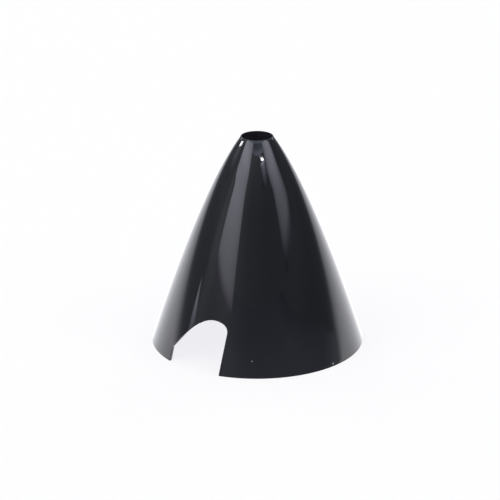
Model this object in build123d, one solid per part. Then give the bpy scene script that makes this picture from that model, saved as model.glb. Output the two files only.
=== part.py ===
from build123d import *
import os
from math import cos, radians, sin, tan

# Cone of a propeller spinner for a two-blade propeller, with the screw that holds it.
# The frame: +Z runs along the axis of rotation to the nose, z = 0 is the open rear rim,
# and the blades leave along -Y and +Y. Lengths are in millimetres, angles in degrees.

# Skin: an ogive, thin-walled, open at the rear and at the nose. The slopes are taken from
# the axis, and the larger an end's straightness, the longer the skin keeps that end's slope.
rim_radius = 38.0
height = 76.3
nose_radius = 5.7
rim_slope = 18.0
nose_slope = 37.1
rim_straightness = 22.0
nose_straightness = 15.5
wall = 1.0

# Pocket: the tube behind the nose opening, with the seat of the screw as its floor.
nose_land = 0.25
pocket_foot_radius = 4.7
pocket_wall = 1.2
hub_height = 30.0
seat_thickness = 2.5
tube_end_chamfer = 0.5

# Blade slots, each seen from outside with the nose up. The low side lets the blade's
# trailing edge out and the high side its leading edge, so the outline isn't symmetric.
slot_width = 22.0
slot_height = 17.9
slot_low_side = 4.5
slot_high_side = 14.0
slot_ramp_slope = 50.2
slot_ramp_length = 6.7
slot_crown_offset = 5.4
slot_crown_roundness = 4.4
slot_shoulder_roundness = 2.8
slot_corner_radius = 0.5
blade_count = 2

# Pan-head machine screw with a cross recess. Its neck, the plain stretch under the head,
# is as thin as the thread's pitch line and ends one pitch past the seat.
thread_radius = 1.5
thread_pitch = 0.5
neck_radius = 1.34
screw_length = 10.0
thread_start_chamfer = 0.4
head_radius = 2.8
head_height = 2.4
head_dome_radius = 5.0
head_edge_radius = 0.6
recess_span = 3.0
recess_foot = 1.2
recess_width = 0.75
recess_depth = 1.5

# Radial clearance of the screw in its hole.
hole_clearance = 0.2

# How far a cutting solid reaches past what it cuts.
overcut = 2.0

seat_height = hub_height + seat_thickness
neck_length = seat_thickness + thread_pitch
hole_radius = thread_radius + hole_clearance
pocket_mouth_radius = nose_radius - nose_land


def skin_line(inset):
    """The skin's half outline from rim to nose, moved in by inset square to the skin."""
    rim = rim_radius - inset / cos(radians(rim_slope))
    nose = nose_radius - inset / cos(radians(nose_slope))
    return Bezier(
        (rim, 0),
        (rim - rim_straightness * tan(radians(rim_slope)), rim_straightness),
        (nose + nose_straightness * tan(radians(nose_slope)), height - nose_straightness),
        (nose, height),
    )


def turned(outline):
    """The solid that a closed half outline sweeps around the Z axis."""
    return revolve(make_face(Plane.XZ * outline), Axis.Z)


def filled_skin(inset):
    """The solid ogive inside the skin line."""
    line = skin_line(inset)
    closing = Polyline(line @ 1, (0, height), (0, 0), line @ 0)
    return turned(line + closing)


def pocket_tube():
    """The pocket's tube, still solid, from its end at the hub up to the nose."""
    foot = pocket_foot_radius + pocket_wall
    mouth = pocket_mouth_radius + pocket_wall
    chamfered = Polyline(
        (0, hub_height),
        (foot - tube_end_chamfer, hub_height),
        (foot, hub_height + tube_end_chamfer),
        (mouth, height),
        (0, height),
        close=True,
    )
    return turned(chamfered)


def pocket_bore():
    """The space in the pocket: a slightly tapered bore down to the seat, and the screw hole."""
    taper = (pocket_mouth_radius - pocket_foot_radius) / (height - seat_height)
    outline = Polyline(
        (0, hub_height - overcut),
        (hole_radius, hub_height - overcut),
        (hole_radius, seat_height),
        (pocket_foot_radius, seat_height),
        (pocket_mouth_radius + taper * overcut, height + overcut),
        (0, height + overcut),
        close=True,
    )
    return turned(outline)


def slot_cutter():
    """The prism that cuts one blade slot, on the -Y side."""
    side = slot_width / 2
    slope = radians(slot_ramp_slope)
    along_ramp = Vector(cos(slope), sin(slope))
    corner = Vector(-side, slot_low_side)
    ramp_end = corner + along_ramp * slot_ramp_length
    crown = Vector(slot_crown_offset, slot_height)
    shoulder = Vector(side, slot_high_side)
    crown_reach = Vector(slot_crown_roundness, 0)
    shoulder_reach = Vector(slot_shoulder_roundness, 0)
    shoulder_rise = Vector(0, slot_shoulder_roundness)
    low_side = Polyline((side, -overcut), (-side, -overcut), corner, ramp_end)
    over_crown = Bezier(
        ramp_end,
        ramp_end + along_ramp * slot_crown_roundness,
        crown - crown_reach,
        crown,
    )
    round_shoulder = Bezier(
        crown,
        crown + shoulder_reach,
        shoulder + shoulder_rise,
        shoulder,
    )
    high_side = Line(shoulder, (side, -overcut))
    outline = make_face(low_side + over_crown + round_shoulder + high_side)
    low_corner = outline.vertices().sort_by_distance(corner)[0]
    outline = fillet(low_corner, slot_corner_radius)
    return extrude(Plane.XZ * outline, amount=rim_radius + overcut, dir=(0, -1, 0))


def spinner_shell():
    """The whole cone, one moulding: skin, nose pocket with its seat, and blade slots."""
    skin = filled_skin(0) - filled_skin(wall)
    shell = skin + (pocket_tube() & filled_skin(0)) - pocket_bore()
    for blade in range(blade_count):
        shell -= Rot(0, 0, 360 / blade_count * blade) * slot_cutter()
    return shell


def screw_head():
    """The pan head, standing on the seat, without its recess."""
    dome_edge = (head_dome_radius**2 - head_radius**2) ** 0.5
    side_height = head_height - head_dome_radius + dome_edge
    side = Polyline((0, head_height), (0, 0), (head_radius, 0), (head_radius, side_height))
    dome = RadiusArc((0, head_height), (head_radius, side_height), head_dome_radius)
    face = make_face(side + dome)
    edge = face.vertices().sort_by_distance((head_radius, side_height))[0]
    return revolve(Plane.XZ * fillet(edge, head_edge_radius), Axis.Z)


def cross_recess():
    """The cross recess: two tapered blades of space that cross on the axis."""
    wing = Polyline(
        (-recess_foot / 2, head_height - recess_depth),
        (recess_foot / 2, head_height - recess_depth),
        (recess_span / 2, head_height),
        (recess_span / 2, head_height + overcut),
        (-recess_span / 2, head_height + overcut),
        (-recess_span / 2, head_height),
        close=True,
    )
    blade = extrude(Plane.XZ * make_face(wing), amount=recess_width / 2, both=True)
    return blade + Rot(0, 0, 90) * blade


def retaining_screw():
    """The screw in its place: the head on the seat and the thread through the hub end."""
    thread_length = screw_length - neck_length
    thread = Pos(0, 0, -neck_length - thread_length / 2) * Cylinder(thread_radius, thread_length)
    thread = chamfer(thread.edges().sort_by(Axis.Z)[0], thread_start_chamfer)
    neck = Pos(0, 0, -neck_length / 2) * Cylinder(neck_radius, neck_length)
    screw = thread + neck + screw_head() - cross_recess()
    return Pos(0, 0, seat_height) * screw


os.makedirs("parts", exist_ok=True)
export_step(spinner_shell(), "parts/spinner_shell.step")
export_step(retaining_screw(), "parts/retaining_screw.step")
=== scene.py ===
import math

import bpy
from mathutils import Matrix, Vector
from mathutils.geometry import interpolate_bezier, intersect_line_line_2d


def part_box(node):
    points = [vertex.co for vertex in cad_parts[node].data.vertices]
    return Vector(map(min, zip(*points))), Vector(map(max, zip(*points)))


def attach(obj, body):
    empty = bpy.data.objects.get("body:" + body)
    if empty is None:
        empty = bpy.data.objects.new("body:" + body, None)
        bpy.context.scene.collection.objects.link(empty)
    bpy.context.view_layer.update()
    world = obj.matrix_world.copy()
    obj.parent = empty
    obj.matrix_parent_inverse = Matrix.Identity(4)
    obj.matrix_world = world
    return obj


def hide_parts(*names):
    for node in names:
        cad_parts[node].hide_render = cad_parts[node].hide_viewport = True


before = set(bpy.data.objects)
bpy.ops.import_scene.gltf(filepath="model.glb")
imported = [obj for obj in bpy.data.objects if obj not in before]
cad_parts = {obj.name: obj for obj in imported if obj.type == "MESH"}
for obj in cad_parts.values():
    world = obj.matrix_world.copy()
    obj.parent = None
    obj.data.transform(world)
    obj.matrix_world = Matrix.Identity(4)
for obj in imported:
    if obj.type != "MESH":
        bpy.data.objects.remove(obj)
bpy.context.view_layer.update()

# A propeller spinner: a black moulded cone with two blade slots, open at the rear and at
# the nose, and the machine screw that holds it, seated at the foot of the nose pocket.
# Lengths are in metres, written as millimetres times MM, and angles are in degrees.
MM = 0.001

_, shell_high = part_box("spinner_shell")
screw_low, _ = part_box("retaining_screw")

# Skin of the cone.
rim_radius = shell_high.x
cone_height = shell_high.z
nose_radius = 5.7 * MM
rim_slope = 18.0
nose_slope = 37.1
rim_straightness = 22.0 * MM
nose_straightness = 15.5 * MM
wall = 1.0 * MM
skin_steps = 60
turn_steps = 384

# Pocket behind the nose opening, its seat and its tube.
nose_land = 0.25 * MM
pocket_foot_radius = 4.7 * MM
pocket_wall = 1.2 * MM
hub_height = 30.0 * MM
seat_thickness = 2.5 * MM
tube_end_chamfer = 0.5 * MM
hole_radius = 1.7 * MM

# Blade slots.
slot_width = 22.0 * MM
slot_height = 17.9 * MM
slot_low_side = 4.5 * MM
slot_high_side = 14.0 * MM
slot_ramp_slope = 50.2
slot_ramp_length = 6.7 * MM
slot_crown_offset = 5.4 * MM
slot_crown_roundness = 4.4 * MM
slot_shoulder_roundness = 2.8 * MM
slot_corner_radius = 0.5 * MM
slot_steps = 14
slot_corner_steps = 4
blade_count = 2

# Edges of the cone that turn by more than edge_angle are rounded.
edge_angle = 40.0
edge_round = 0.1 * MM
edge_steps = 2

# How far a cutting solid reaches past what it cuts, and the distances within which points
# become one: in a turned solid, and in the cone once its slots are cut. The second one also
# thins the points around the nose opening, the pocket and the screw's hole.
overcut = 2.0 * MM
weld = 0.001 * MM
cut_weld = 0.1 * MM

# Faces deeper in the wall than polish_depth, a share of its thickness, have the satin
# finish. So do those whose normal reaches outwards by less than inward_look.
polish_depth = 0.9
inward_look = -0.5

# Specks of dust on the skin: azimuth from -Y towards +X, height and size.
dust_specks = (
    (34.8, 5.8 * MM, 0.5 * MM),
    (82.6, 0.9 * MM, 0.85 * MM),
)

# Screw. The thread's crest and root are shares of its pitch.
thread_radius = 1.5 * MM
thread_pitch = 0.5 * MM
thread_crest_share = 1 / 8
thread_root_share = 1 / 4
thread_half_angle = 30.0
thread_steps = 36
neck_radius = 1.34 * MM
thread_start_chamfer = 0.4 * MM
head_radius = 2.8 * MM
head_height = 2.4 * MM
head_dome_radius = 5.0 * MM
head_edge_radius = 0.6 * MM
recess_span = 3.0 * MM
recess_foot = 1.2 * MM
recess_width = 0.75 * MM
recess_depth = 1.5 * MM
screw_steps = 64
head_edge_steps = 5
head_dome_steps = 6
screw_smooth_angle = 25.0

seat_height = hub_height + seat_thickness
pocket_mouth_radius = nose_radius - nose_land
thread_top = seat_height - seat_thickness - thread_pitch

# Camera, where the photograph was taken from, in metres and degrees.
camera_azimuth = 37.83
camera_distance = 0.82471
camera_height = 0.34436
camera_pitch = 20.652
camera_yaw = 0.179
camera_roll = -0.182
camera_lens = 177.84
camera_sensor = 36.0

# Studio, in metres. The floor lies a hair under the rim.
floor_size = 8.0
floor_gap = 0.01 * MM
card_distance = 4.0
card_columns = 12
card_rows = 40
studio_middle = Vector((0, 0, 0.035))


def deselect_all():
    """Nothing is selected and no mesh is being edited."""
    if bpy.context.object and bpy.context.object.mode != "OBJECT":
        bpy.ops.object.mode_set(mode="OBJECT")
    bpy.ops.object.select_all(action="DESELECT")


def activate(piece):
    """Only this piece is selected and active."""
    deselect_all()
    piece.select_set(True)
    bpy.context.view_layer.objects.active = piece


def apply_modifier(piece, kind, **settings):
    """Adds a modifier of this kind, sets it and applies it."""
    activate(piece)
    modifier = piece.modifiers.new(kind.title(), kind)
    for setting, value in settings.items():
        setattr(modifier, setting, value)
    bpy.ops.object.modifier_apply(modifier=modifier.name)


def cut(piece, tool, operation="DIFFERENCE"):
    """Cuts a piece with a tool, or joins them, and takes the tool away."""
    apply_modifier(piece, "BOOLEAN", object=tool, operation=operation, solver="EXACT")
    bpy.data.objects.remove(tool)


def drawn(name, outline, closed):
    """A line of edges in the XZ plane through the outline's (x, z) points."""
    deselect_all()
    bpy.ops.mesh.primitive_plane_add(size=MM)
    line = bpy.context.object
    line.name = name
    bpy.ops.object.mode_set(mode="EDIT")
    bpy.ops.mesh.select_all(action="SELECT")
    bpy.ops.mesh.merge(type="CENTER")
    here = outline[0]
    bpy.ops.transform.translate(value=(here[0], 0, here[1]))
    for there in outline[1:]:
        step = (there[0] - here[0], 0, there[1] - here[1])
        bpy.ops.mesh.extrude_vertices_move(TRANSFORM_OT_translate={"value": step})
        here = there
    if closed:
        bpy.ops.object.mode_set(mode="OBJECT")
        for index in (0, len(outline) - 1):
            line.data.vertices[index].select = True
        bpy.ops.object.mode_set(mode="EDIT")
        bpy.ops.mesh.edge_face_add()
    bpy.ops.mesh.select_all(action="SELECT")
    return line


def close_solid():
    """Turns the faces of the mesh that is being edited outwards, and ends the editing."""
    bpy.ops.mesh.select_all(action="SELECT")
    bpy.ops.mesh.normals_make_consistent(inside=False)
    bpy.ops.object.mode_set(mode="OBJECT")


def turned(name, outline, steps, closed):
    """A solid turned about the Z axis from its half outline of (radius, height) points."""
    solid = drawn(name, outline, closed)
    bpy.ops.mesh.spin(steps=steps, angle=math.tau, center=(0, 0, 0), axis=(0, 0, 1))
    bpy.ops.mesh.select_all(action="SELECT")
    bpy.ops.mesh.remove_doubles(threshold=weld)
    close_solid()
    return solid


def prism(name, outline, back, front, turn):
    """A solid with this outline between two places along Y, turned about the Z axis."""
    solid = drawn(name, outline, closed=True)
    bpy.ops.mesh.edge_face_add()
    bpy.ops.transform.translate(value=(0, back, 0))
    bpy.ops.mesh.extrude_region_move(TRANSFORM_OT_translate={"value": (0, front - back, 0)})
    close_solid()
    solid.data.transform(Matrix.Rotation(math.radians(turn), 4, "Z"))
    return solid


def curve(start, start_handle, end_handle, end, steps):
    """Points along a Bezier curve in the outline's plane."""
    return interpolate_bezier(start, start_handle, end_handle, end, steps + 1)


def rounded(before, corner, after, radius, steps):
    """Points along the arc that rounds the corner between two straight runs."""
    back = (before - corner).normalized()
    onward = (after - corner).normalized()
    turn = math.pi - back.angle(onward)
    reach = radius * math.tan(turn / 2)
    handle = reach - radius * math.tan(turn / 4) * 4 / 3
    return curve(
        corner + back * reach,
        corner + back * handle,
        corner + onward * handle,
        corner + onward * reach,
        steps,
    )


def skin_line(inset):
    """The skin's half outline from rim to nose, moved in by inset square to the skin."""
    rim = rim_radius - inset / math.cos(math.radians(rim_slope))
    nose = nose_radius - inset / math.cos(math.radians(nose_slope))
    rim_reach = rim_straightness * math.tan(math.radians(rim_slope))
    nose_reach = nose_straightness * math.tan(math.radians(nose_slope))
    return curve(
        Vector((rim, 0)),
        Vector((rim - rim_reach, rim_straightness)),
        Vector((nose + nose_reach, cone_height - nose_straightness)),
        Vector((nose, cone_height)),
        skin_steps,
    )


def on_skin(azimuth, height):
    """The point of the skin at an azimuth from -Y towards +X and at a height."""
    radius = along([(point.y, point.x) for point in skin_line(0)], height)
    turn = math.radians(azimuth)
    return Vector((radius * math.sin(turn), -radius * math.cos(turn), height))


def shell_outline():
    """The closed half outline of the cone: skin, pocket, seat, tube and the wall's inside."""
    foot = pocket_foot_radius + pocket_wall
    tube_foot = Vector((foot, hub_height + tube_end_chamfer))
    tube_mouth = Vector((pocket_mouth_radius + pocket_wall, cone_height))
    inside = skin_line(wall)
    met = None
    reached = 0
    while met is None:
        met = intersect_line_line_2d(inside[reached], inside[reached + 1], tube_foot, tube_mouth)
        reached += 1
    corners = [
        Vector((pocket_mouth_radius, cone_height)),
        Vector((pocket_foot_radius, seat_height)),
        Vector((hole_radius, seat_height)),
        Vector((hole_radius, hub_height)),
        Vector((foot - tube_end_chamfer, hub_height)),
        tube_foot,
        met,
    ]
    return skin_line(0) + corners + inside[:reached][::-1]


def slot_outline():
    """The closed outline of one blade slot, seen from outside with the nose up."""
    side = slot_width / 2
    slope = math.radians(slot_ramp_slope)
    along_ramp = Vector((math.cos(slope), math.sin(slope)))
    below = Vector((-side, -overcut))
    corner = Vector((-side, slot_low_side))
    ramp_end = corner + along_ramp * slot_ramp_length
    crown = Vector((slot_crown_offset, slot_height))
    shoulder = Vector((side, slot_high_side))
    over_crown = curve(
        ramp_end,
        ramp_end + along_ramp * slot_crown_roundness,
        crown - Vector((slot_crown_roundness, 0)),
        crown,
        slot_steps,
    )
    round_shoulder = curve(
        crown,
        crown + Vector((slot_shoulder_roundness, 0)),
        shoulder + Vector((0, slot_shoulder_roundness)),
        shoulder,
        slot_steps,
    )
    low_corner = rounded(below, corner, ramp_end, slot_corner_radius, slot_corner_steps)
    return [below] + low_corner + over_crown + round_shoulder[1:] + [Vector((side, -overcut))]


def slot_tool(turn):
    """The prism that cuts one blade slot."""
    return prism("slot_tool", slot_outline(), 0, -rim_radius - overcut, turn)


def round_edges(piece):
    """Rounds the sharp edges and shades the faces smoothly."""
    apply_modifier(
        piece,
        "BEVEL",
        width=edge_round,
        segments=edge_steps,
        limit_method="ANGLE",
        angle_limit=math.radians(edge_angle),
    )
    activate(piece)
    bpy.ops.object.shade_smooth()
    apply_modifier(piece, "WEIGHTED_NORMAL", keep_sharp=False)


def cone_moulding():
    """The whole cone, one moulding."""
    cone = turned("cone_moulding", shell_outline(), turn_steps, closed=True)
    for blade in range(blade_count):
        cut(cone, slot_tool(360 / blade_count * blade))
    activate(cone)
    bpy.ops.object.mode_set(mode="EDIT")
    bpy.ops.mesh.select_all(action="SELECT")
    bpy.ops.mesh.remove_doubles(threshold=cut_weld)
    bpy.ops.object.mode_set(mode="OBJECT")
    round_edges(cone)
    return cone


def screw_blank():
    """Head and neck, turned about the screw's axis."""
    dome_centre = seat_height + head_height - head_dome_radius
    side_top = dome_centre + math.sqrt(head_dome_radius**2 - head_radius**2)
    dome_edge = Vector((head_radius, side_top))
    dome_top = Vector((0, seat_height + head_height))
    head_edge = rounded(
        Vector((head_radius, seat_height)),
        dome_edge,
        dome_edge + Vector((dome_centre - side_top, head_radius)),
        head_edge_radius,
        head_edge_steps,
    )
    rise = math.asin(head_edge[-1].x / head_dome_radius)
    dome = []
    for step in range(head_dome_steps - 1, 0, -1):
        across = head_dome_radius * math.sin(rise * step / head_dome_steps)
        dome.append(Vector((across, dome_centre + math.sqrt(head_dome_radius**2 - across**2))))
    neck_foot = thread_top - thread_pitch / 2
    outline = [Vector((0, neck_foot)), Vector((neck_radius, neck_foot))]
    outline += [Vector((neck_radius, seat_height)), Vector((head_radius, seat_height))]
    outline += head_edge + dome + [dome_top]
    return turned("seated_screw", outline, screw_steps, closed=False)


def thread():
    """The thread's full-diameter stretch with its true form and a chamfered start."""
    crest = thread_pitch * thread_crest_share
    root = thread_pitch * thread_root_share
    flank = (thread_pitch - crest - root) / 2
    root_radius = thread_radius - flank / math.tan(math.radians(thread_half_angle))
    start = screw_low.z
    below = start - thread_pitch
    # Two turns more than the thread is long, one below it and one above, are cut off again.
    turns = math.ceil((thread_top - start) / thread_pitch) + 2
    outline = [
        Vector((root_radius, below)),
        Vector((root_radius, below + root)),
        Vector((thread_radius, below + root + flank)),
        Vector((thread_radius, below + root + flank + crest)),
        Vector((root_radius, below + thread_pitch)),
    ]
    ridge = drawn("thread", outline, closed=False)
    bpy.ops.object.mode_set(mode="OBJECT")
    apply_modifier(
        ridge,
        "SCREW",
        axis="Z",
        screw_offset=thread_pitch,
        iterations=turns,
        steps=thread_steps,
        render_steps=thread_steps,
        use_merge_vertices=True,
        merge_threshold=weld,
    )
    activate(ridge)
    bpy.ops.object.mode_set(mode="EDIT")
    for height, above in ((start, False), (thread_top, True)):
        bpy.ops.mesh.select_all(action="SELECT")
        bpy.ops.mesh.bisect(
            plane_co=(0, 0, height),
            plane_no=(0, 0, 1),
            use_fill=True,
            clear_inner=not above,
            clear_outer=above,
        )
    close_solid()
    chamfered = [
        Vector((0, start - overcut)),
        Vector((thread_radius - thread_start_chamfer, start)),
        Vector((thread_radius + overcut, start + thread_start_chamfer + overcut)),
        Vector((thread_radius + overcut, thread_top + overcut)),
        Vector((0, thread_top + overcut)),
    ]
    cut(ridge, turned("start_blank", chamfered, screw_steps, closed=False), "INTERSECT")
    return ridge


def recess_tool(turn):
    """One of the two crossing wedges that make the cross recess."""
    foot = seat_height + head_height - recess_depth
    mouth = seat_height + head_height + overcut
    spread = (recess_span - recess_foot) / 2 / recess_depth
    mouth_half = recess_span / 2 + spread * overcut
    wing = [
        Vector((-recess_foot / 2, foot)),
        Vector((recess_foot / 2, foot)),
        Vector((mouth_half, mouth)),
        Vector((-mouth_half, mouth)),
    ]
    return prism("recess_tool", wing, recess_width / 2, -recess_width / 2, turn)


def seated_screw():
    """The pan-head screw in its place on the seat."""
    screw = screw_blank()
    for turn in (0, 90):
        cut(screw, recess_tool(turn))
    cut(screw, thread(), "UNION")
    activate(screw)
    bpy.ops.object.shade_smooth_by_angle(angle=math.radians(screw_smooth_angle))
    return screw


def new_material(name):
    """A material with an empty node tree."""
    material = bpy.data.materials.new(name)
    material.use_nodes = True
    material.node_tree.nodes.clear()
    return material


def add_node(tree, kind, **settings):
    """A node of this kind with these settings."""
    node = tree.nodes.new(kind)
    for setting, value in settings.items():
        setattr(node, setting, value)
    return node


def show(tree, finish, output="ShaderNodeOutputMaterial"):
    """Gives the tree an output that shows this finish or light."""
    shown = add_node(tree, output)
    tree.links.new(finish, shown.inputs["Surface"])


def noise(tree, scale, detail):
    """Noise through the piece, scale cells to the metre, as a factor."""
    place = add_node(tree, "ShaderNodeTexCoord")
    texture = add_node(tree, "ShaderNodeTexNoise")
    texture.inputs["Scale"].default_value = scale
    texture.inputs["Detail"].default_value = detail
    tree.links.new(place.outputs["Object"], texture.inputs["Vector"])
    return texture.outputs["Fac"]


def ranged(tree, factor, low, high, from_low=0.3, from_high=0.7):
    """A factor stretched to run between two values. Noise is mostly from 0.3 to 0.7."""
    stretch = add_node(tree, "ShaderNodeMapRange")
    stretch.inputs["From Min"].default_value = from_low
    stretch.inputs["From Max"].default_value = from_high
    stretch.inputs["To Min"].default_value = low
    stretch.inputs["To Max"].default_value = high
    tree.links.new(factor, stretch.inputs["Value"])
    return stretch.outputs["Result"]


def gloss_black():
    """Polished black plastic, as it leaves the mould, with a few specks of dust on it."""
    material = new_material("gloss_black")
    tree = material.node_tree
    surface = add_node(tree, "ShaderNodeBsdfPrincipled")
    surface.inputs["Base Color"].default_value = (0.0031, 0.0034, 0.0046, 1)
    surface.inputs["IOR"].default_value = 1.5
    polish = ranged(tree, noise(tree, 700, 3), 0.03, 0.055)
    tree.links.new(polish, surface.inputs["Roughness"])
    dust = add_node(tree, "ShaderNodeBsdfDiffuse")
    dust.inputs["Color"].default_value = (0.21, 0.2, 0.18, 1)
    place = add_node(tree, "ShaderNodeTexCoord")
    finish = surface.outputs["BSDF"]
    for azimuth, height, size in dust_specks:
        reach = add_node(tree, "ShaderNodeVectorMath", operation="DISTANCE")
        reach.inputs[1].default_value = on_skin(azimuth, height)
        tree.links.new(place.outputs["Object"], reach.inputs[0])
        # A speck fades between a third and a half of its size from its middle.
        cover = ranged(tree, reach.outputs["Value"], 1, 0, size / 3, size / 2)
        either = add_node(tree, "ShaderNodeMixShader")
        tree.links.new(cover, either.inputs["Fac"])
        tree.links.new(finish, either.inputs[1])
        tree.links.new(dust.outputs["BSDF"], either.inputs[2])
        finish = either.outputs["Shader"]
    show(tree, finish)
    return material


def satin_black():
    """The same plastic as the core of the mould leaves it, on the inside and in the pocket."""
    material = new_material("satin_black")
    tree = material.node_tree
    surface = add_node(tree, "ShaderNodeBsdfPrincipled")
    grain = noise(tree, 900, 4)
    colour = add_node(tree, "ShaderNodeCombineColor")
    for channel, share in (("Red", 1.0), ("Green", 0.95), ("Blue", 1.25)):
        shade = ranged(tree, grain, 0.010 * share, 0.014 * share)
        tree.links.new(shade, colour.inputs[channel])
    tree.links.new(colour.outputs["Color"], surface.inputs["Base Color"])
    surface.inputs["IOR"].default_value = 1.5
    polish = ranged(tree, noise(tree, 1500, 3), 0.32, 0.42)
    tree.links.new(polish, surface.inputs["Roughness"])
    show(tree, surface.outputs["BSDF"])
    return material


def finish_inside(cone):
    """Gives the second material to the inside of the wall and to the pocket."""
    depth = [(point.y, point.x) for point in skin_line(wall * polish_depth)]
    for face in cone.data.polygons:
        outward = Vector((face.center.x, face.center.y, 0))
        behind = outward.length < along(depth, face.center.z)
        if behind or face.normal.dot(outward.normalized()) < inward_look:
            face.material_index = 1


def bright_zinc():
    """Steel with a bright zinc plating."""
    material = new_material("bright_zinc")
    tree = material.node_tree
    surface = add_node(tree, "ShaderNodeBsdfPrincipled")
    surface.inputs["Base Color"].default_value = (0.72, 0.74, 0.78, 1)
    surface.inputs["Metallic"].default_value = 1.0
    polish = ranged(tree, noise(tree, 2500, 3), 0.16, 0.3)
    tree.links.new(polish, surface.inputs["Roughness"])
    show(tree, surface.outputs["BSDF"])
    return material


def towards(azimuth, elevation):
    """The direction at these angles from the object, azimuth 0 to the camera and + right."""
    turn = math.radians(azimuth + camera_azimuth)
    rise = math.radians(elevation)
    level = math.cos(rise)
    return Vector((math.sin(turn) * level, -math.cos(turn) * level, math.sin(rise)))


def along(knots, place):
    """The value at a place on a line through (place, value) knots."""
    for (place_a, value_a), (place_b, value_b) in zip(knots, knots[1:]):
        if place <= place_b:
            share = max(0.0, (place - place_a) / (place_b - place_a))
            return value_a + (value_b - value_a) * share
    return knots[-1][1]


def light_card(name, left, right, glow, tint=(1, 1, 1), spread=((0, 1), (1, 1)), behind=0.0):
    """A bright card around the object, between its left and right edges.

    The edges and the glow are (elevation, azimuth) and (elevation, brightness) knots. The
    spread is (share of the way across, share of the brightness) knots. A card may stand
    behind the others, by this many metres.
    """
    low = glow[0][0]
    high = glow[-1][0]
    deselect_all()
    bpy.ops.mesh.primitive_grid_add(x_subdivisions=card_columns, y_subdivisions=card_rows, size=2)
    card = bpy.context.object
    card.name = name
    for vertex in card.data.vertices:
        across = (vertex.co.x + 1) / 2
        elevation = low + (high - low) * (vertex.co.y + 1) / 2
        azimuth = along(left, elevation) * (1 - across) + along(right, elevation) * across
        vertex.co = studio_middle + towards(azimuth, elevation) * (card_distance + behind)
    card.data.materials.append(card_light(name, glow, tint, spread))
    card.visible_camera = False


def graded(tree, factor, knots):
    """A factor turned into a brightness by (factor, brightness) knots, all at most 1."""
    ramp = add_node(tree, "ShaderNodeValToRGB")
    tree.links.new(factor, ramp.inputs["Fac"])
    stops = ramp.color_ramp.elements
    while len(stops) < len(knots):
        stops.new(0.5)
    for stop, (place, _) in zip(stops, knots):
        stop.position = place
    for stop, (_, brightness) in zip(stops, knots):
        stop.color = (brightness, brightness, brightness, 1)
    return ramp.outputs["Color"]


def product(tree, first, second):
    """Two factors multiplied."""
    times = add_node(tree, "ShaderNodeMath", operation="MULTIPLY")
    tree.links.new(first, times.inputs[0])
    tree.links.new(second, times.inputs[1])
    return times.outputs["Value"]


def scaled(tree, factor, scale):
    """A factor multiplied by a plain number."""
    times = add_node(tree, "ShaderNodeMath", operation="MULTIPLY")
    times.inputs[1].default_value = scale
    tree.links.new(factor, times.inputs[0])
    return times.outputs["Value"]


def share_towards(tree, place, azimuth):
    """How far a place or a direction reaches towards an azimuth."""
    share = add_node(tree, "ShaderNodeVectorMath", operation="DOT_PRODUCT")
    share.inputs[1].default_value = towards(azimuth, 0)
    tree.links.new(place, share.inputs[0])
    return share.outputs["Value"]


def show_twofold(tree, lit, seen, output):
    """Shows the camera one light or finish, and lights the object with the other."""
    path = add_node(tree, "ShaderNodeLightPath")
    either = add_node(tree, "ShaderNodeMixShader")
    tree.links.new(path.outputs["Is Camera Ray"], either.inputs["Fac"])
    tree.links.new(lit, either.inputs[1])
    tree.links.new(seen, either.inputs[2])
    show(tree, either.outputs["Shader"], output)


def card_light(name, glow, tint, spread):
    """Light that follows the brightness knots up a card and the spread across it."""
    material = new_material(name)
    tree = material.node_tree
    low = glow[0][0]
    high = glow[-1][0]
    brightest = max(brightness for _, brightness in glow)
    rise = [((elevation - low) / (high - low), value / brightest) for elevation, value in glow]
    place = add_node(tree, "ShaderNodeTexCoord")
    split = add_node(tree, "ShaderNodeSeparateXYZ")
    tree.links.new(place.outputs["UV"], split.inputs["Vector"])
    upward = graded(tree, split.outputs["Y"], rise)
    sideways = graded(tree, split.outputs["X"], spread)
    light = add_node(tree, "ShaderNodeEmission")
    light.inputs["Color"].default_value = (*tint, 1)
    strength = scaled(tree, product(tree, upward, sideways), brightest)
    tree.links.new(strength, light.inputs["Strength"])
    show(tree, light.outputs["Emission"])
    return material


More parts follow.
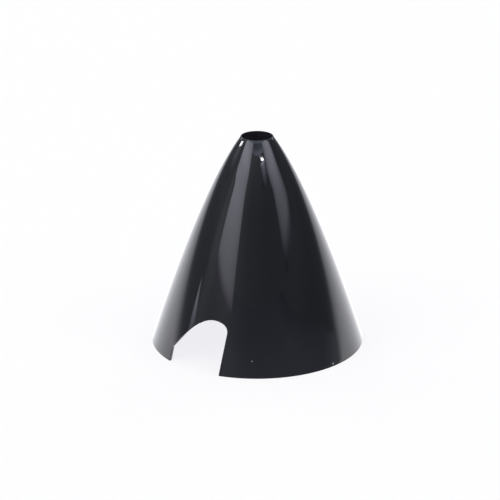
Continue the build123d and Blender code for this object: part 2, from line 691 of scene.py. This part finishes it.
def studio_lights():
    """The softboxes, the small lamps with their glow, and the soft cards all around."""
    soft_blue = (0.97, 0.98, 1.15)
    deep_blue = (0.93, 0.98, 1.24)
    light_card(
        "left_softbox",
        [(14.5, -69.5), (26.3, -69.5), (27.3, -77), (31, -78), (38, -83), (42, -88), (60, -95)],
        [(14.5, -34), (30, -33.5), (36, -30), (46, -29), (60, -26)],
        [
            (14.5, 0.56),
            (14.9, 0.8),
            (15.2, 1.15),
            (15.6, 1.55),
            (16, 1.85),
            (16.6, 2.1),
            (20, 2.55),
            (26, 3.25),
            (33, 3.55),
            (38, 4.4),
            (42, 4.4),
            (50, 3.8),
            (60, 3.6),
        ],
        (0.98, 0.98, 1.13),
        ((0, 0.9), (0.12, 1), (0.5, 0.95), (0.75, 0.86), (0.9, 0.74), (1, 0.58)),
    )
    light_card(
        "right_softbox",
        [(17, 46), (29, 46), (32, 43), (36, 38), (60, 36)],
        [(17, 84), (28, 85), (34, 91), (40, 94), (60, 94)],
        [
            (17, 0.33),
            (18.2, 0.42),
            (19, 0.75),
            (20, 1.25),
            (21, 1.55),
            (23, 1.7),
            (26, 2.1),
            (30, 2.65),
            (34, 3.25),
            (42, 3.7),
            (60, 4.0),
        ],
        (0.97, 0.985, 1.15),
        ((0, 0.36), (0.06, 0.5), (0.17, 0.75), (0.25, 0.83), (0.55, 1), (0.75, 0.93), (1, 0.55)),
    )
    light_card(
        "low_strip",
        [(3.5, -89), (5.5, -88.5), (8, -88), (8.3, -87.5)],
        [(3.5, -81), (6.4, -81.5), (8.3, -87)],
        [(3.5, 0.6), (5.1, 1.35), (5.9, 1.75), (6.6, 2.3), (7.6, 2.3), (8.3, 1.7)],
        soft_blue,
        ((0, 1), (0.5, 0.85), (1, 0.4)),
    )
    light_card(
        "left_lamp",
        [(21.1, -117), (23.4, -119.5), (32, -104.5)],
        [(21.1, -116.5), (27.5, -104), (32, -104)],
        [(21.1, 16), (32, 16)],
    )
    light_card(
        "left_lamp_halo",
        [(15, -128), (29, -116)],
        [(15, -104), (29, -86)],
        [(15, 0.35), (18.5, 0.7), (22, 1.05), (25, 0.95), (29, 0.65)],
        soft_blue,
        ((0, 0.35), (0.45, 1), (1, 0.5)),
        behind=0.1,
    )
    light_card(
        "right_lamp",
        [(41.4, 32), (42.3, 20.5), (43.9, 17)],
        [(41.4, 33), (43.1, 29), (43.9, 18.5)],
        [(41.4, 36), (43.9, 36)],
    )
    light_card(
        "right_lamp_tail",
        [(33, 18), (41.3, 13)],
        [(33, 36), (41.3, 36)],
        [(33, 0.4), (35.5, 0.95), (38, 1.7), (40, 2.2), (41.3, 6)],
        deep_blue,
        ((0, 0.2), (0.4, 0.9), (0.7, 1), (1, 0.35)),
    )
    light_card(
        "right_lamp_halo",
        [(44, 14), (45.4, 8)],
        [(44, 22), (45.4, 17)],
        [(44, 3.6), (45.4, 3.2)],
        soft_blue,
        ((0, 0.5), (0.5, 1), (1, 0.8)),
    )
    light_card(
        "front_beam",
        [(45.5, -29), (54.4, -27)],
        [(45.5, 36), (54.4, 36)],
        [(45.5, 1.3), (46.5, 1.8), (47.8, 1.5), (49.3, 1.0), (51, 0.8), (54.4, 0.9)],
        deep_blue,
        ((0, 0.7), (0.3, 0.85), (0.55, 1), (0.85, 1), (1, 0.9)),
    )
    light_card(
        "front_low",
        [(1, -38), (14.2, -38), (14.6, -33), (17, -33)],
        [(1, 100), (2.4, 95), (3.6, 90), (5, 86), (8, 73), (10, 63), (12, 53), (14, 44), (17, 34)],
        [
            (1, 1.2),
            (2.4, 1.0),
            (3.6, 0.8),
            (5, 0.62),
            (11.5, 0.6),
            (12.5, 0.57),
            (13.5, 0.5),
            (15, 0.45),
            (17, 0.41),
        ],
        (0.96, 0.98, 1.17),
        ((0, 1), (0.1, 0.93), (0.22, 0.76), (0.35, 0.7), (0.85, 0.68), (1, 0.42)),
    )
    back_glow = [(16, 1.8), (60, 3.5)]
    for name, left, right in (("back_left", -165, -130), ("back_right", 130, 165)):
        light_card(name, [(16, left), (60, left)], [(16, right), (60, right)], back_glow, soft_blue)
    light_card(
        "overhead",
        [(54.5, -180), (90, -180)],
        [(54.5, 180), (90, 180)],
        [(54.5, 1.5), (60, 1.6), (70, 1.0), (90, 0.8)],
        deep_blue,
    )


def by_height(knots):
    """(Elevation, brightness) knots with each elevation as its height on the unit sphere."""
    return [(math.sin(math.radians(elevation)), value) for elevation, value in knots]


def studio_walls():
    """The dark room around the object, brighter to the left and above; the backdrop is white."""
    world = bpy.data.worlds.new("studio")
    bpy.context.scene.world = world
    world.use_nodes = True
    tree = world.node_tree
    tree.nodes.clear()
    place = add_node(tree, "ShaderNodeTexCoord")
    direction = place.outputs["Generated"]
    angle = add_node(tree, "ShaderNodeMath", operation="ARCTAN2")
    for socket, azimuth in enumerate((90, 0)):
        tree.links.new(share_towards(tree, direction, azimuth), angle.inputs[socket])
    turn = ranged(tree, angle.outputs["Value"], 0, 1, -math.pi, math.pi)
    room_knots = (
        (-180, 0.3),
        (-120, 0.28),
        (-86, 0.38),
        (-80, 0.6),
        (-72, 0.58),
        (-66, 0.48),
        (-60, 0.45),
        (-50, 0.47),
        (-40, 0.46),
        (-16, 0.27),
        (20, 0.21),
        (60, 0.24),
        (80, 0.23),
        (120, 0.2),
        (180, 0.3),
    )
    room = graded(tree, turn, [(azimuth / 360 + 0.5, value) for azimuth, value in room_knots])
    split = add_node(tree, "ShaderNodeSeparateXYZ")
    tree.links.new(direction, split.inputs["Vector"])
    rise_knots = ((0, 0.85), (10, 0.9), (15, 1.2), (28, 1.25), (36, 1.7), (46, 2.4), (90, 2.4))
    brightest = max(value for _, value in rise_knots)
    rise_shares = [(elevation, value / brightest) for elevation, value in rise_knots]
    rise = graded(tree, split.outputs["Z"], by_height(rise_shares))
    horizon_knots = ((0, 1.0), (0.7, 0.6), (1.1, 0.4), (1.6, 0.2), (2.2, 0.09), (3.5, 0.02), (5, 0))
    horizon = graded(tree, split.outputs["Z"], by_height(horizon_knots))
    both = add_node(tree, "ShaderNodeMath", operation="ADD")
    tree.links.new(scaled(tree, product(tree, room, rise), brightest), both.inputs[0])
    tree.links.new(horizon, both.inputs[1])
    surroundings = add_node(tree, "ShaderNodeBackground")
    surroundings.inputs["Color"].default_value = (0.98, 1.0, 1.1, 1)
    tree.links.new(both.outputs["Value"], surroundings.inputs["Strength"])
    backdrop = add_node(tree, "ShaderNodeBackground")
    backdrop.inputs["Color"].default_value = (1, 1, 1, 1)
    lit = surroundings.outputs["Background"]
    show_twofold(tree, lit, backdrop.outputs["Background"], "ShaderNodeOutputWorld")


def pale_table():
    """A table lit from below. The camera sees it at the white of the backdrop."""
    material = new_material("pale_table")
    tree = material.node_tree
    seen = add_node(tree, "ShaderNodeBsdfDiffuse")
    seen.inputs["Color"].default_value = (0.103, 0.107, 0.074, 1)
    seen_light = add_node(tree, "ShaderNodeEmission")
    seen_light.inputs["Color"].default_value = (0.962, 0.953, 0.997, 1)
    seen_light.inputs["Strength"].default_value = 0.88
    seen_both = add_node(tree, "ShaderNodeAddShader")
    tree.links.new(seen.outputs["BSDF"], seen_both.inputs[0])
    tree.links.new(seen_light.outputs["Emission"], seen_both.inputs[1])
    place = add_node(tree, "ShaderNodeTexCoord")
    reach = add_node(tree, "ShaderNodeVectorMath", operation="LENGTH")
    tree.links.new(place.outputs["Object"], reach.inputs[0])
    farthest = 3.0
    far_knots = ((0.2, 1), (0.4, 0.95), (0.6, 0.86), (0.9, 0.78), (farthest, 0.69))
    farness = ranged(tree, reach.outputs["Value"], 0, 1, 0, farthest)
    far_glow = graded(tree, farness, [(metres / farthest, value) for metres, value in far_knots])
    rightward = share_towards(tree, place.outputs["Object"], 90)
    side_glow = ranged(tree, rightward, 2.12, 1.95, -0.3, 0.3)
    table_light = add_node(tree, "ShaderNodeEmission")
    table_light.inputs["Color"].default_value = (0.97, 0.975, 1.02, 1)
    tree.links.new(product(tree, far_glow, side_glow), table_light.inputs["Strength"])
    lit = table_light.outputs["Emission"]
    show_twofold(tree, lit, seen_both.outputs["Shader"], "ShaderNodeOutputMaterial")
    return material


def studio_floor():
    """The top of the light table."""
    deselect_all()
    bpy.ops.mesh.primitive_plane_add(size=floor_size, location=(0, 0, -floor_gap))
    floor = bpy.context.object
    floor.name = "floor"
    floor.data.materials.append(pale_table())


def camera():
    """The camera at the photograph's place."""
    turn = math.radians(camera_azimuth)
    data = bpy.data.cameras.new("camera")
    data.lens = camera_lens
    data.sensor_width = camera_sensor
    data.clip_start = 0.01
    data.clip_end = 20
    holder = bpy.data.objects.new("camera", data)
    bpy.context.scene.collection.objects.link(holder)
    place = Vector((math.sin(turn), -math.cos(turn), 0)) * camera_distance
    place.z = camera_height
    holder.matrix_world = (
        Matrix.Translation(place)
        @ Matrix.Rotation(turn + math.radians(camera_yaw), 4, "Z")
        @ Matrix.Rotation(math.radians(90 - camera_pitch), 4, "X")
        @ Matrix.Rotation(math.radians(camera_roll), 4, "Z")
    )
    bpy.context.scene.camera = holder


camera()
bpy.context.scene.view_settings.view_transform = "Standard"
studio_floor()
studio_walls()
studio_lights()

cone = cone_moulding()
cone.data.materials.append(gloss_black())
cone.data.materials.append(satin_black())
finish_inside(cone)
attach(cone, "root")
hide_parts("spinner_shell")

screw = seated_screw()
screw.data.materials.append(bright_zinc())
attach(screw, "root")
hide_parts("retaining_screw")
